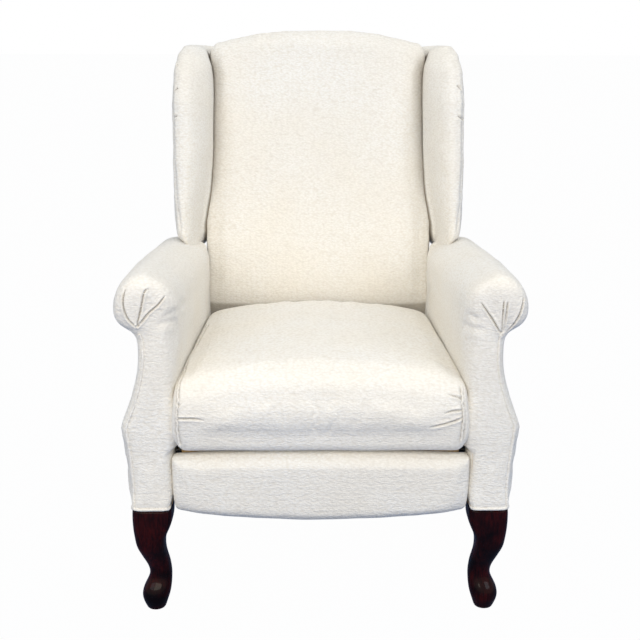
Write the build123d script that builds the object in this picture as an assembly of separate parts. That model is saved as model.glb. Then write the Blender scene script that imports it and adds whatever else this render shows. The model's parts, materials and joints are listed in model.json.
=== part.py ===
"""Wingback push-back recliner on cabriole legs.

The chair is an upholstered wooden base (two rolled arms on four legs), a seat box that hangs
on four swing links, a leaned back with wings that is hinged to the seat plates, and a footrest
panel that a pair of five-bar linkages carries out from under the seat.

Every length is in millimetres. X runs across the chair with +X at the sitter's left, Y runs
from front to back and Z up. The origin is on the floor under the middle of the chair.
Left-hand pieces are modelled, and the right-hand ones are their mirror images.
"""
from build123d import *
from math import atan2, ceil, cos, degrees, hypot, pi, radians, sin, sqrt, tan
import os

# ---------------------------------------------------------------- overall frame
ARM_DEPTH = 585.0
BACK_OVERHANG = 196.0       # depth of the leaned back's top behind the arms' rear
FRONT_Y = -(ARM_DEPTH + BACK_OVERHANG) / 2      # plane of the footrest panel's face
GAP = 0.3                   # between soft pieces and what they lie against
PIN_FIT = 0.06              # radial clearance of a pin in its hole

# arms: a rolled arm that is larger at the front than at the back
ARM_BOTTOM_Z = 225.0
ARM_ROLL_X = (320.5, 322.0)     # front and rear values of each tapering size
ARM_ROLL_Z = (633.5, 595.0)
ARM_ROLL_R = (53.0, 50.0)
ARM_ROLL_FULL = 5.0             # fullness of the roll's lower outer side
ARM_OUTER_X = (360.5, 354.0)
ARM_FLARE = 9.5                 # widening of the lower panel towards its top
ARM_INNER_X = (276.0, 250.0)
ARM_SHOULDER_X = (268.0, 258.0)
ARM_SHOULDER_RISE = (15.0, 26.0)    # shoulder above the roll's centre
ARM_CREASE_DROP = 51.5          # crease below the roll's centre
ARM_CREASE_OUT = 13.0           # crease outside the roll's centre
ARM_PANEL_TOP_Z = 395.0
ARM_WAIST_Z = 528.0
ARM_WAIST_OUT = 11.0            # waist outside the roll's centre
ARM_EDGE = 14.0                 # depth over which the end faces round over
RECESS_X = 286.0                # inner face of the arm's lower part, beside the mechanism
RECESS_TOP_Z = 355.0
ARM_PADDING = 14.0
ARM_WALL = 16.0                 # cover and padding round the arm's hollow

# wooden base frame
STUMP_THICK = 22.0
REAR_BOARD_THICK = 18.0
RAIL_THICK = 22.0
RAIL_HEIGHT = 70.0
ARM_RAIL_WIDE = 26.0
ARM_RAIL_HIGH = 26.0
STRETCHER_HEIGHT = 44.0

# legs
LEG_TOP_Z = ARM_BOTTOM_Z - GAP
GLIDE_THICK = 4.0
# height, centre X and half width of the cabriole leg's sections, from knee to toe
CABRIOLE = [(LEG_TOP_Z, 323.0, 35.5), (207.0, 323.0, 34.5), (190.0, 325.5, 29.5),
            (170.0, 326.0, 26.0), (149.0, 324.5, 22.5), (110.0, 319.5, 18.5), (73.0, 315.5, 18.5),
            (51.0, 321.5, 25.5), (25.0, 321.0, 19.5), (GLIDE_THICK, 321.0, 13.5)]
CABRIOLE_DEPTH = 41.0           # of the knee's centre behind the panel's face
REAR_LEG_TOP = 45.0
REAR_LEG_FOOT = 28.0
REAR_LEG_X = 309.0
REAR_LEG_DEPTH = ARM_DEPTH - 60.0
REAR_LEG_RAKE = 75.0
BOLT_R = 4.0

# seat box
SEAT_HALF = 266.0               # to the outer face of its side rails
SEAT_FRONT = 50.0
SEAT_BACK = ARM_DEPTH - 45.0
SEAT_RAIL_Z = (283.0, 338.0)
SEAT_RAIL_THICK = 20.0
DECK_THICK = 15.0
CUSHION_FRONT = -12.0
CUSHION_BACK = ARM_DEPTH - 42.0
CUSHION_CROWN_Z = 500.0
CUSHION_EDGE_Z = 474.0
CUSHION_NOSE = 52.0             # radius of the waterfall front
CUSHION_SIDE_GAP = 3.2
CUSHION_DROOP = 6.5             # of the cushion's underside in front of the seat box

# footrest panel
PANEL_HALF = 283.5
PANEL_THICK = 45.0
PANEL_TOP_Z = (334.0, 341.0)    # at the ends and at the middle
PANEL_LOW_Z = (220.0, 197.0)
BOARD_THICK = 16.0
BOARD_INSET = 13.0

# mechanism plates, stacked outwards from the seat box's side
PLATE = 3.0
LINK = 2.5
LINK_GAP = 0.7
STUD_R = 4.0
BOSS_R = 8.5
LINK_R = 6.5
SWING_LENGTH = 80.0
SWING_REST = 10.0               # degrees that the swing links hang behind upright
SWING_SPACING = 130.0
SWING_REAR_D = ARM_DEPTH - 85.0
SWING_FRONT_D = SWING_REAR_D - SWING_SPACING
SWING_PIVOT_Z = 318.0
SWING_STUD_R = 5.0
SWING_BOSS_R = 11.0
# footrest linkage pivots as (depth, height), with the panel stowed
P_DRIVE = (62.0, 328.0)         # drive link on the seat plate
P_IDLER = (111.2, 319.7)        # idler link on the seat plate
P_KNEE = (251.3, 231.9)         # drive link to cross link
P_IDLER_KNEE = (300.0, 223.2)   # idler link to cross link
P_EAR = (275.0, 263.9)          # drive link to tilt link
P_FOOT = (66.0, 284.7)          # cross link to footrest bracket
P_TILT = (111.4, 322.0)         # tilt link to footrest bracket
IDLER_SLACK = 0.6               # radial slack in the two pivots that close the linkage
TILT_SLACK = 1.4

# back
LEAN = 12.0
PIVOT_D = ARM_DEPTH - 10.0
PIVOT_Z = 326.0
BACK_HALF = 243.0               # outer face of the stiles, which pass between the arms
STILE_WIDE = 45.0
STILE_FRONT = -8.0              # forward offsets from the leaned plane through the pivot
STILE_REAR = -50.0
STILE_FOOT = -25.0
STILE_TOP = 700.0
BACK_ARCH = (748.0, 700.0)      # top rail at the middle and at the stiles
BACK_RAIL_FOOT = 80.0
OUTSIDE_THICK = 8.0
OUTSIDE_WIDE = 300.0
OUTSIDE_SHOULDER = 342.0        # along the lean, where the outside back widens over the arms
CUSHION_BACK_HALF = 241.0
CUSHION_BACK_TOP = 795.0
BACK_CUSHION_FOOT = 32.0
CUSHION_BACK_DROP = 40.0
WING_PLY = 18.0
WING_CLEARANCE = 5.0            # over the arm, which the wing rides across as the seat swings
WING_FOOT_ANGLE = 104.0         # where round the arm's roll the wing's straight foot comes nearest
# height, outer X and forward reach of the wing's level sections
WING = [(624.0, 295.0, 112.0), (646.0, 308.0, 143.0), (668.0, 314.0, 162.0),
        (739.0, 318.0, 177.0), (826.0, 322.0, 179.0), (955.0, 325.5, 165.0),
        (1019.0, 326.5, 136.0), (1055.0, 322.0, 96.0), (1073.0, 308.0, 54.0)]
WING_BOARD_REACH = 118.0
WING_BOARD_U = (360.0, 722.0)   # foot and top of the board along the lean

# springs
WIRE = 3.6
SEAT_SPRINGS = 4
BACK_SPRINGS = 3
SPRING_PITCH = 98.0
SPRING_WIDE = 54.0


# ---------------------------------------------------------------- small tools
def mix(pair, share):
    """Value a share of the way from a size's front value to its rear value."""
    return pair[0] + (pair[1] - pair[0]) * share


def front(depth):
    """Mapping from (x, z) to a point on the upright plane that lies at this depth."""
    return lambda x, z: Vector(x, FRONT_Y + depth, z)


def side(x):
    """Mapping from (depth, z) to a point on the upright plane at this x."""
    return lambda depth, z: Vector(x, FRONT_Y + depth, z)


def level(z):
    """Mapping from (x, depth) to a point on the level plane at this height."""
    return lambda x, depth: Vector(x, FRONT_Y + depth, z)


def outline(place, start, *steps):
    """Closed wire of lines, (end,), and arcs, (through, end), placed by a plane's mapping."""
    edges = []
    here = start
    for step in steps + ((start,),):
        if len(step) == 1 and hypot(step[0][0] - here[0], step[0][1] - here[1]) < 1e-6:
            continue
        if len(step) == 1:
            edges.append(Edge.make_line(place(*here), place(*step[0])))
        else:
            edges.append(Edge.make_three_point_arc(place(*here), place(*step[0]), place(*step[1])))
        here = step[-1]
    return Wire(edges)


def box(x, depth, z):
    """Box between pairs of x, depth and z."""
    size = (x[1] - x[0], depth[1] - depth[0], z[1] - z[0])
    middle = (sum(x) / 2, FRONT_Y + sum(depth) / 2, sum(z) / 2)
    return Pos(*middle) * Box(*size)


def plate(wire, x):
    """Plate of a side outline, from x[0] to x[1]."""
    return Solid.extrude(Face(wire), Vector(x[1] - x[0], 0, 0))


def stud(pivot, radius, x):
    """Round pin across the chair at a (depth, z) pivot, from x[0] to x[1]."""
    return Solid.make_cylinder(radius, x[1] - x[0], Plane((x[0], FRONT_Y + pivot[0], pivot[1]), z_dir=(1, 0, 0)))


def bar(start, end, radius, x):
    """Round-ended bar between two (depth, z) pivots."""
    along = (end[0] - start[0], end[1] - start[1])
    length = hypot(*along)
    ux, uz = along[0] / length * radius, along[1] / length * radius
    wire = outline(side(x[0]), (start[0] - uz, start[1] + ux), ((end[0] - uz, end[1] + ux),),
                   ((end[0] + ux, end[1] + uz), (end[0] + uz, end[1] - ux)),
                   ((start[0] + uz, start[1] - ux),),
                   ((start[0] - ux, start[1] - uz), (start[0] - uz, start[1] + ux)))
    return plate(wire, x)


def mirrored(solid):
    return mirror(solid, Plane.YZ)


# layers of the mechanism across the chair
SEAT_PLATE_X = (SEAT_HALF, SEAT_HALF + PLATE)
LAYER = [(SEAT_PLATE_X[1] + LINK_GAP + i * (LINK + LINK_GAP),
          SEAT_PLATE_X[1] + LINK_GAP + i * (LINK + LINK_GAP) + LINK) for i in range(5)]
BASE_PLATE_X = (RECESS_X - PLATE, RECESS_X)
SWING_X = (BASE_PLATE_X[0] - 5.0 - PLATE, BASE_PLATE_X[0] - 5.0)


# ---------------------------------------------------------------- arms and base frame
def arm_section(depth, skin=0.0, base_skin=0.0):
    """Arm's outline at a depth, drawn skin inside its cover and base_skin inside its foot."""
    share = depth / ARM_DEPTH
    roll_x = mix(ARM_ROLL_X, share)
    roll_z = mix(ARM_ROLL_Z, share)
    radius = mix(ARM_ROLL_R, share) - skin
    outer = mix(ARM_OUTER_X, share) - skin
    inner = mix(ARM_INNER_X, share) + skin
    shoulder = (mix(ARM_SHOULDER_X, share) + skin, roll_z + mix(ARM_SHOULDER_RISE, share))
    waist = roll_x + ARM_WAIST_OUT - skin
    crease = (roll_x + ARM_CREASE_OUT - skin, roll_z - ARM_CREASE_DROP + skin / 2)
    flared = outer + ARM_FLARE
    foot_x = RECESS_X + base_skin
    foot_z = ARM_BOTTOM_Z + base_skin

    def roll(angle, reach=radius):
        return (roll_x + reach * cos(radians(angle)), roll_z + reach * sin(radians(angle)))

    reach = hypot(shoulder[0] - roll_x, shoulder[1] - roll_z)
    turn = degrees(atan2(shoulder[1] - roll_z, shoulder[0] - roll_x))
    return outline(
        front(depth), (foot_x, foot_z), ((outer, foot_z),), ((flared, ARM_PANEL_TOP_Z),),
        ((flared - 9.5, ARM_PANEL_TOP_Z + 22), (flared - 25.5, ARM_PANEL_TOP_Z + 68)),
        ((waist, ARM_WAIST_Z), crease),
        (roll(-53, radius + 0.3 * ARM_ROLL_FULL), roll(-38, radius + ARM_ROLL_FULL)),
        (roll(5), roll(45)), (roll(80), roll(115)),
        (roll((115 + turn) / 2, (radius + reach) / 2), shoulder),
        ((inner, RECESS_TOP_Z + 15 + base_skin),), ((foot_x, RECESS_TOP_Z + base_skin),))


def arm_block(start, end, skin, base_skin):
    """Straight-sided stretch of the arm's form between two depths."""
    return Solid.make_loft([arm_section(start, skin, base_skin), arm_section(end, skin, base_skin)], True)


def arm_form():
    """Whole arm with its end faces rounded over."""
    rim = [(0.0, 9.0), (ARM_EDGE * 0.25, 3.6), (ARM_EDGE, 0.0)]
    stations = rim + [(ARM_DEPTH - depth, skin) for depth, skin in reversed(rim)]
    return Solid.make_loft([arm_section(depth, skin, skin / 3) for depth, skin in stations], True)


REAR_BOARD_D = ARM_DEPTH - ARM_PADDING - REAR_BOARD_THICK
FRAME_FRONT = ARM_PADDING + STUMP_THICK


def arm_stump(grow=0.0):
    """Shaped front board of the arm."""
    return arm_block(ARM_PADDING - grow, FRAME_FRONT + grow, ARM_PADDING - grow, 1.0 - grow)


def arm_rear_board(grow=0.0):
    """Shaped rear board of the arm."""
    return arm_block(REAR_BOARD_D - grow, REAR_BOARD_D + REAR_BOARD_THICK + grow,
                     ARM_PADDING - grow, 1.0 - grow)


def side_rail(grow=0.0):
    """Bottom rail of the arm frame, flush with the arm's inner face."""
    return box((RECESS_X - grow, RECESS_X + RAIL_THICK + grow), (FRAME_FRONT, REAR_BOARD_D),
               (ARM_BOTTOM_Z + 1.0, ARM_BOTTOM_Z + 1.0 + RAIL_HEIGHT + grow))


def arm_rail():
    """Rail along the middle of the arm's roll, from front board to rear board."""
    ends = []
    for depth in (FRAME_FRONT, REAR_BOARD_D):
        x = mix(ARM_ROLL_X, depth / ARM_DEPTH)
        z = mix(ARM_ROLL_Z, depth / ARM_DEPTH)
        ends.append(outline(front(depth), (x - ARM_RAIL_WIDE / 2, z - ARM_RAIL_HIGH / 2),
                            ((x + ARM_RAIL_WIDE / 2, z - ARM_RAIL_HIGH / 2),),
                            ((x + ARM_RAIL_WIDE / 2, z + ARM_RAIL_HIGH / 2),),
                            ((x - ARM_RAIL_WIDE / 2, z + ARM_RAIL_HIGH / 2),)))
    return Solid.make_loft(ends, True)


def bolt_places():
    """(x, depth) of the hanger bolt over each left-hand leg."""
    x = RECESS_X + RAIL_THICK - BOLT_R - 2.0
    return [(x, FRAME_FRONT + BOLT_R + 12.0), (x, REAR_LEG_DEPTH)]


def leg_bolt(place, grow=0.0):
    """Hanger bolt from a leg's top up into the side rail."""
    x, depth = place
    return Solid.make_cylinder(BOLT_R + grow, 72.0, Plane((x, FRONT_Y + depth, ARM_BOTTOM_Z - 32.0)))


def leg_hole(solid):
    for place in bolt_places():
        solid = solid - leg_bolt(place, PIN_FIT)
    return solid


def arm_cover():
    """Padded arm, hollow between its boards, with pockets for the frame."""
    hollow = arm_block(FRAME_FRONT, REAR_BOARD_D, ARM_WALL, ARM_WALL)
    cover = arm_form() - arm_stump(GAP) - arm_rear_board(GAP) - side_rail(GAP) - hollow
    return leg_hole(cover - rear_stretcher(GAP))


def base_screw_places():
    """(depth, z) of the screws that hold a base plate to its side rail."""
    span = (SWING_FRONT_D + 25.0, (SWING_FRONT_D + SWING_REAR_D) / 2, SWING_REAR_D)
    return [(depth, ARM_BOTTOM_Z + 40.0) for depth in span]


def base_screw(place, grow=0.0):
    """Pan-head wood screw through the base plate into the side rail."""
    head = stud(place, 4.5, (BASE_PLATE_X[0] - 2.0, BASE_PLATE_X[0]))
    shank = stud(place, 2.2 + grow, (BASE_PLATE_X[0], RECESS_X + 18.0))
    return shank if grow else head + shank


def drilled_rail():
    rail = leg_hole(side_rail())
    for place in base_screw_places():
        rail = rail - base_screw(place, PIN_FIT)
    return rail


def rear_stretcher(grow=0.0):
    """Wooden rail across the back of the base, between the arms' rear boards."""
    half = RECESS_X + 1.0 + grow
    return box((-half, half), (REAR_BOARD_D - grow, REAR_BOARD_D + REAR_BOARD_THICK + grow),
               (ARM_BOTTOM_Z + 1.0 - grow, ARM_BOTTOM_Z + 1.0 + STRETCHER_HEIGHT + grow))


def cabriole_leg():
    """Turned-out front leg: square in section, swelling to a knee and a pad foot."""
    knee_x = CABRIOLE[0][1]
    sections = []
    for z, x, half in CABRIOLE:
        depth = CABRIOLE_DEPTH - (x - knee_x)
        sections.append(Pos(x, FRONT_Y + depth, z) * RectangleRounded(2 * half, 2 * half, 0.36 * half))
    return leg_hole(loft(sections))


def rear_leg():
    """Square tapered leg, raked backwards."""
    top = Pos(REAR_LEG_X, FRONT_Y + REAR_LEG_DEPTH, LEG_TOP_Z) * Rectangle(REAR_LEG_TOP, REAR_LEG_TOP)
    foot = Pos(REAR_LEG_X + 5, FRONT_Y + REAR_LEG_DEPTH + REAR_LEG_RAKE, GLIDE_THICK)
    return leg_hole(loft([foot * Rectangle(REAR_LEG_FOOT, REAR_LEG_FOOT), top]))


def glide_places():
    """(x, depth) under each left-hand leg."""
    toe_x = CABRIOLE[-1][1]
    return [(toe_x, CABRIOLE_DEPTH - (toe_x - CABRIOLE[0][1])),
            (REAR_LEG_X + 5, REAR_LEG_DEPTH + REAR_LEG_RAKE)]


def glide(place):
    x, depth = place
    return Solid.make_cone(9.0, 11.0, GLIDE_THICK, Plane((x, FRONT_Y + depth, 0)))


# ---------------------------------------------------------------- swing mechanism
def swing_pivots(depth):
    """Base pivot and seat pivot of a swing link that hangs from this depth."""
    lean = radians(SWING_REST)
    return ((depth, SWING_PIVOT_Z),
            (depth + SWING_LENGTH * sin(lean), SWING_PIVOT_Z - SWING_LENGTH * cos(lean)))


TUBE_R = 10.0
TUBE_MARGIN = 11.0
TUBE_PLACE = (REAR_BOARD_D - TUBE_MARGIN - 1.0, 250.0)
PLATE_WINDOW_Z = (285.0, SWING_PIVOT_Z - 4.0)


def base_plate():
    """Steel plate on the arm's side rail that the swing links hang from."""
    low = ARM_BOTTOM_Z + 8.0
    body = plate(outline(side(BASE_PLATE_X[0]), (SWING_FRONT_D - 15, low + 16),
                         ((SWING_FRONT_D + 2, low),), ((TUBE_PLACE[0] + TUBE_MARGIN, low),),
                         ((TUBE_PLACE[0] + TUBE_MARGIN, TUBE_PLACE[1] + TUBE_MARGIN),),
                         ((SWING_REAR_D + 15, SWING_PIVOT_Z + 14),),
                         ((SWING_FRONT_D - 15, SWING_PIVOT_Z + 14),)), BASE_PLATE_X)
    window = box(BASE_PLATE_X, (SWING_FRONT_D + 30, SWING_REAR_D - 30), PLATE_WINDOW_Z)
    body = body - window
    for depth in (SWING_FRONT_D, SWING_REAR_D):
        body = body - stud((depth, SWING_PIVOT_Z), SWING_STUD_R + PIN_FIT, BASE_PLATE_X)
    for place in base_screw_places():
        body = body - base_screw(place, PIN_FIT)
    return body


def base_tube():
    """Cross tube welded between the base plates."""
    outside = stud(TUBE_PLACE, TUBE_R, (-BASE_PLATE_X[0], BASE_PLATE_X[0]))
    return outside - stud(TUBE_PLACE, TUBE_R - 1.5, (-BASE_PLATE_X[0], BASE_PLATE_X[0]))


def swing_link(depth):
    """Hanging link with a stud at the top for the base plate and one below for the seat."""
    top, low = swing_pivots(depth)
    strap = bar(top, low, SWING_BOSS_R, SWING_X)
    upper = stud(top, SWING_STUD_R, (SWING_X[1], BASE_PLATE_X[1] - GAP))
    collar = stud(top, SWING_STUD_R + 3, (SWING_X[1], BASE_PLATE_X[0] - GAP))
    lower = stud(low, SWING_STUD_R, (SEAT_PLATE_X[0] + GAP, SWING_X[0]))
    spacer = stud(low, SWING_STUD_R + 3, (SEAT_PLATE_X[1] + GAP, SWING_X[0]))
    return strap + upper + collar + lower + spacer


def seat_plate():
    """Steel side plate of the seat box, with ears for its pivots and the back hinge."""
    body = plate(outline(side(SEAT_PLATE_X[0]), (SEAT_FRONT, SEAT_RAIL_Z[0] + 12),
                         ((SEAT_FRONT + 14, SEAT_RAIL_Z[0] + 2),), ((SEAT_BACK, SEAT_RAIL_Z[0] + 2),),
                         ((PIVOT_D, PIVOT_Z - 13),), ((PIVOT_D + 13, PIVOT_Z), (PIVOT_D, PIVOT_Z + 13)),
                         ((SEAT_BACK, SEAT_RAIL_Z[1] - 1),), ((SEAT_FRONT, SEAT_RAIL_Z[1] - 1),)),
                 SEAT_PLATE_X)
    for depth in (SWING_FRONT_D, SWING_REAR_D):
        low = swing_pivots(depth)[1]
        body = body + bar((low[0], SEAT_RAIL_Z[0] + 16), low, 13.0, SEAT_PLATE_X)
    for depth in (SWING_FRONT_D, SWING_REAR_D):
        body = body - stud(swing_pivots(depth)[1], SWING_STUD_R + PIN_FIT, SEAT_PLATE_X)
    for pivot in (P_DRIVE, P_IDLER):
        body = body - stud(pivot, STUD_R + PIN_FIT, SEAT_PLATE_X)
    return body - stud((PIVOT_D, PIVOT_Z), HINGE_PIN_R + PIN_FIT, SEAT_PLATE_X)


# ---------------------------------------------------------------- footrest linkage
def drive_link():
    """Bent plate that swings the footrest out, with an ear for the tilt link."""
    here = LAYER[2]
    share = 0.62
    root = (P_DRIVE[0] + (P_KNEE[0] - P_DRIVE[0]) * share, P_DRIVE[1] + (P_KNEE[1] - P_DRIVE[1]) * share)
    body = bar(P_DRIVE, P_KNEE, LINK_R, here) + stud(P_DRIVE, BOSS_R, here) + stud(P_KNEE, BOSS_R, here)
    body = body + bar(P_KNEE, P_EAR, BOSS_R, here) + plate(outline(side(here[0]), root, (P_KNEE,), (P_EAR,)), here)
    body = body + stud(P_DRIVE, STUD_R, (SEAT_PLATE_X[0] + GAP, here[0]))
    body = body + stud(P_KNEE, STUD_R, (LAYER[1][0], here[0]))
    return body + stud(P_EAR, STUD_R, (here[1], LAYER[3][1]))


def idler_link():
    """Second arm of the parallelogram."""
    here = LAYER[0]
    body = bar(P_IDLER, P_IDLER_KNEE, LINK_R, here) + stud(P_IDLER, BOSS_R, here)
    body = body + stud(P_IDLER_KNEE, BOSS_R, here)
    body = body + stud(P_IDLER, STUD_R, (SEAT_PLATE_X[0] + GAP, here[0]))
    return body + stud(P_IDLER_KNEE, STUD_R, (here[1], LAYER[1][1]))


def cross_link():
    """Long link that the two arms carry and that carries the footrest bracket."""
    here = LAYER[1]
    body = bar(P_IDLER_KNEE, P_KNEE, BOSS_R, here) + bar(P_KNEE, P_FOOT, LINK_R, here)
    body = body + stud(P_FOOT, BOSS_R, here)
    body = body - stud(P_KNEE, STUD_R + PIN_FIT, here) - stud(P_IDLER_KNEE, STUD_R + IDLER_SLACK, here)
    return body + stud(P_FOOT, STUD_R, (here[1], LAYER[4][1]))


def tilt_link():
    """Link that turns the footrest bracket level as the arms open."""
    here = LAYER[3]
    body = bar(P_EAR, P_TILT, LINK_R, here) + stud(P_EAR, BOSS_R, here) + stud(P_TILT, BOSS_R, here)
    return body - stud(P_EAR, STUD_R + PIN_FIT, here) - stud(P_TILT, STUD_R + TILT_SLACK, here)


FLANGE_X = 252.0
FLANGE_Z = (240.0, 316.0)


def footrest_bracket():
    """Angle plate on the back of the footrest board."""
    here = LAYER[4]
    web = plate(outline(side(here[0]), (PANEL_THICK, FLANGE_Z[0]), ((P_FOOT[0] + 4, P_FOOT[1] - BOSS_R),),
                        ((P_FOOT[0] + 6, P_FOOT[1] + BOSS_R),), ((PANEL_THICK, FLANGE_Z[1]),)), here)
    flange = box((FLANGE_X, here[1]), (PANEL_THICK, PANEL_THICK + LINK), FLANGE_Z)
    body = web + flange + bar(P_FOOT, P_TILT, BOSS_R, here)
    body = body - stud(P_FOOT, STUD_R + PIN_FIT, here)
    return body + stud(P_TILT, STUD_R, (LAYER[3][0], here[0]))


def panel_section(depth, inset):
    """Footrest panel's outline: nearly straight on top, bowed along its lower edge."""
    half = PANEL_HALF - inset
    top = (PANEL_TOP_Z[0] - inset, PANEL_TOP_Z[1] - inset)
    low = (PANEL_LOW_Z[0] + inset, PANEL_LOW_Z[1] + inset)
    return outline(front(depth), (-half, low[0]), ((0, low[1]), (half, low[0])), ((half, top[0]),),
                   ((0, top[1]), (-half, top[0])))


def footrest_board():
    wires = [panel_section(depth, BOARD_INSET) for depth in (PANEL_THICK - BOARD_THICK, PANEL_THICK)]
    return Solid.make_loft(wires, True)


def footrest_pad():
    """Padded face of the footrest, wrapped round its board."""
    round_over = 24.0
    wires = []
    for step in range(4):
        angle = radians(30 * step)
        wires.append(panel_section(round_over * (1 - cos(angle)), 16.0 * (1 - sin(angle))))
    wires.append(panel_section(PANEL_THICK, 2.0))
    pocket = Solid.make_loft([panel_section(depth, BOARD_INSET - GAP)
                              for depth in (PANEL_THICK - BOARD_THICK - GAP, PANEL_THICK)], True)
    return Solid.make_loft(wires, True) - pocket


# ---------------------------------------------------------------- seat
def seat_rails():
    """The four wooden rails of the seat box."""
    inner = SEAT_HALF - SEAT_RAIL_THICK
    return {
        "seat_front_rail": box((-inner, inner), (SEAT_FRONT, SEAT_FRONT + SEAT_RAIL_THICK), SEAT_RAIL_Z),
        "seat_rear_rail": box((-inner, inner), (SEAT_BACK - SEAT_RAIL_THICK, SEAT_BACK), SEAT_RAIL_Z),
        "left_seat_rail": box((inner, SEAT_HALF), (SEAT_FRONT, SEAT_BACK), SEAT_RAIL_Z),
        "right_seat_rail": box((-SEAT_HALF, -inner), (SEAT_FRONT, SEAT_BACK), SEAT_RAIL_Z),
    }


def sinuous_spring(length):
    """Zigzag spring wire, flat on the XY plane, from the origin along +Y."""
    loops = 2 * int(length / SPRING_PITCH) - 1
    turn = SPRING_PITCH / 4
    reach = SPRING_WIDE / 2 - turn
    lead = (length - loops * 2 * turn) / 2
    half = WIRE / 2
    pieces = [Pos(0, lead / 2) * Rectangle(WIRE, lead + WIRE)]
    for i in range(loops):
        y = lead + (2 * i + 1) * turn
        hand = 1 if i % 2 == 0 else -1
        ring = Circle(turn + half) - Circle(turn - half)
        bend = ring & (Pos(turn * hand, 0) * Rectangle(2 * turn, 4 * turn))
        pieces.append(Pos(reach * hand, y) * bend)
        first = y - turn
        starts = 0 if i == 0 else -reach * hand
        pieces.append(Pos((starts + reach * hand) / 2, first) * Rectangle(abs(reach * hand - starts), WIRE))
        last_hand = hand
    end = lead + loops * 2 * turn
    pieces.append(Pos(reach * last_hand / 2, end) * Rectangle(reach, WIRE))
    pieces.append(Pos(0, length - lead / 2) * Rectangle(WIRE, lead + WIRE))
    shape = pieces[0]
    for piece in pieces[1:]:
        shape = shape + piece
    shape = shape & (Pos(0, length / 2) * Rectangle(2 * SPRING_WIDE, length))
    return extrude(shape, WIRE)


def seat_springs():
    """Sinuous springs between the front and rear seat rails."""
    start = SEAT_FRONT + SEAT_RAIL_THICK
    length = SEAT_BACK - SEAT_RAIL_THICK - start
    spring = sinuous_spring(length)
    spacing = 2 * (SEAT_HALF - SEAT_RAIL_THICK) / SEAT_SPRINGS
    middle = (SEAT_SPRINGS - 1) / 2
    return [Pos((i - middle) * spacing, FRONT_Y + start, SEAT_RAIL_Z[1] - WIRE - 0.5) * spring
            for i in range(SEAT_SPRINGS)]


def deck_pad():
    """Padded decking that covers the springs and carries the cushion."""
    inner = SEAT_HALF - SEAT_RAIL_THICK
    return box((-inner, inner), (SEAT_FRONT + 2, SEAT_BACK - 2),
               (SEAT_RAIL_Z[1], SEAT_RAIL_Z[1] + DECK_THICK))


CUSHION_LOW_Z = SEAT_RAIL_Z[1] + DECK_THICK + GAP


def seat_cushion_section(depth, inset):
    """Cushion's outline across the chair: flat below, bulged sides and a crowned top."""
    share = max(depth, 0) / ARM_DEPTH
    wide = mix(ARM_INNER_X, share) - CUSHION_SIDE_GAP - 0.5 * inset
    low = CUSHION_LOW_Z + 0.22 * inset - (CUSHION_DROOP if depth < PANEL_THICK else 0.0)
    edge = CUSHION_EDGE_Z - 1.1 * inset
    crown = CUSHION_CROWN_Z - 1.25 * inset
    foot = wide - 10.0
    return outline(front(depth), (-foot, low), ((foot, low),),
                   ((wide, (low + edge) / 2), (wide - 7.0, edge)), ((0, crown), (7.0 - wide, edge)),
                   ((-wide, (low + edge) / 2), (-foot, low)))


def seat_cushion():
    """Waterfall seat cushion, rounded over at its front and, less, at its back."""
    wires = []
    for step in range(5):
        angle = radians(22.5 * step)
        wires.append(seat_cushion_section(CUSHION_FRONT + CUSHION_NOSE * (1 - cos(angle)),
                                          36.0 * (1 - sin(angle))))
    for depth in (SEAT_FRONT - 1.0, 0.5 * CUSHION_BACK, 0.8 * CUSHION_BACK):
        wires.append(seat_cushion_section(depth, 0.0))
    for step in range(3):
        angle = radians(45 * step)
        wires.append(seat_cushion_section(CUSHION_BACK - 26.0 * (1 - sin(angle)),
                                          16.0 * (1 - cos(angle))))
    return Solid.make_loft(wires, True)


# ---------------------------------------------------------------- back
BACK_PLACE = Location((0, FRONT_Y + PIVOT_D, PIVOT_Z), (-LEAN, 0, 0))
HINGE_PIN_R = 5.0


def leaned(solid):
    """Moves a solid drawn with n forward (as -Y) and u up from the back's pivot."""
    return solid.moved(BACK_PLACE)


def back_box(x, n, u):
    """Box in the back's own frame."""
    size = (x[1] - x[0], n[1] - n[0], u[1] - u[0])
    return leaned(Pos(sum(x) / 2, -sum(n) / 2, sum(u) / 2) * Box(*size))


def back_face(n):
    """Mapping from (x, u) to a point on the back's face plane, n in front of the lean."""
    return lambda x, u: Vector(x, -n, u)


def back_board(wire, thick):
    """Board that runs back by thick from an outline on a back_face plane."""
    return leaned(Solid.extrude(Face(wire), Vector(0, thick, 0)))


def back_stile():
    return back_box((BACK_HALF - STILE_WIDE, BACK_HALF), (STILE_REAR, STILE_FRONT), (STILE_FOOT, STILE_TOP))


def back_top_rail():
    """Arched rail between the stiles' tops."""
    half = BACK_HALF - STILE_WIDE
    wire = outline(back_face(STILE_FRONT), (-half, STILE_TOP - 60), ((half, STILE_TOP - 60),),
                   ((half, BACK_ARCH[1]),), ((0, BACK_ARCH[0]), (-half, BACK_ARCH[1])))
    return back_board(wire, STILE_FRONT - STILE_REAR)


def back_bottom_rail():
    half = BACK_HALF - STILE_WIDE
    return back_box((-half, half), (STILE_REAR, STILE_FRONT), (STILE_FOOT + 5, STILE_FOOT + 5 + BACK_RAIL_FOOT))


def back_springs():
    """Sinuous springs between the back's bottom and top rails."""
    low = STILE_FOOT + 5 + BACK_RAIL_FOOT
    spring = sinuous_spring(STILE_TOP - 60 - low)
    upright = Location((0, 0, 0), (90, 0, 0))
    spacing = 2 * (BACK_HALF - STILE_WIDE) / BACK_SPRINGS
    middle = (BACK_SPRINGS - 1) / 2
    return [leaned((Pos((i - middle) * spacing, -STILE_FRONT + 4 + WIRE, low) * upright * spring))
            for i in range(BACK_SPRINGS)]


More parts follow.
